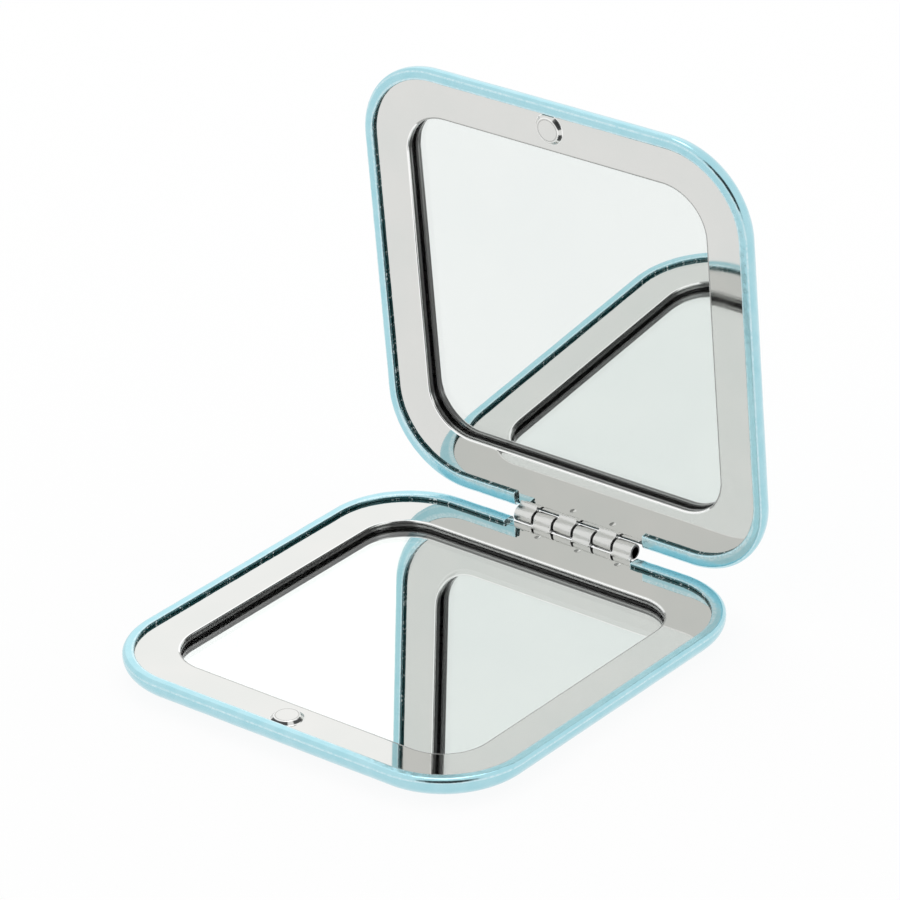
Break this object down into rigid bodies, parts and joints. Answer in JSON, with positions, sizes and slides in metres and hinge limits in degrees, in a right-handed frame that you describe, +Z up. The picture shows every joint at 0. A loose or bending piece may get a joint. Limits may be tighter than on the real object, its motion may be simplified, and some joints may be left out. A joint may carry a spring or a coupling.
{
  "type": "compact mirror",
  "caption": "Square folding pocket mirror: two round-cornered halves with framed square mirrors and magnet catches, joined by a rolled pin hinge.",
  "frame": {"origin": "centre of the base's underside", "axes": "+Z up, out of the surface that the base rests on; +X along the hinge; +Y towards the hinge"},
  "size_m": [0.07, 0.0755, 0.0758],
  "materials": {
    "skin": "metallic light blue film, glossy",
    "shell": "bare tinplate",
    "plate": "polished chrome",
    "mirror": "back-silvered glass",
    "card": "grey board",
    "magnet": "nickel plated",
    "pin": "bright steel wire"
  },
  "bodies": {
    "base": {"base_skin": "skin", "base_shell": "shell", "base_plate": "plate", "base_mirror": "mirror", "base_backing_card": "card", "base_magnet": "magnet", "hinge_pin": "pin"},
    "lid": {"lid_skin": "skin", "lid_shell": "shell", "lid_plate": "plate", "lid_mirror": "mirror", "lid_backing_card": "card", "lid_magnet": "magnet"}
  },
  "joints": [
    {"name": "lid_hinge", "type": "hinge", "parent": "base", "child": "lid", "pos_m": [0, 0.0368, 0.00415], "axis": [-1, 0, 0], "range_deg": [-85.5, 94.5]}
  ]
}
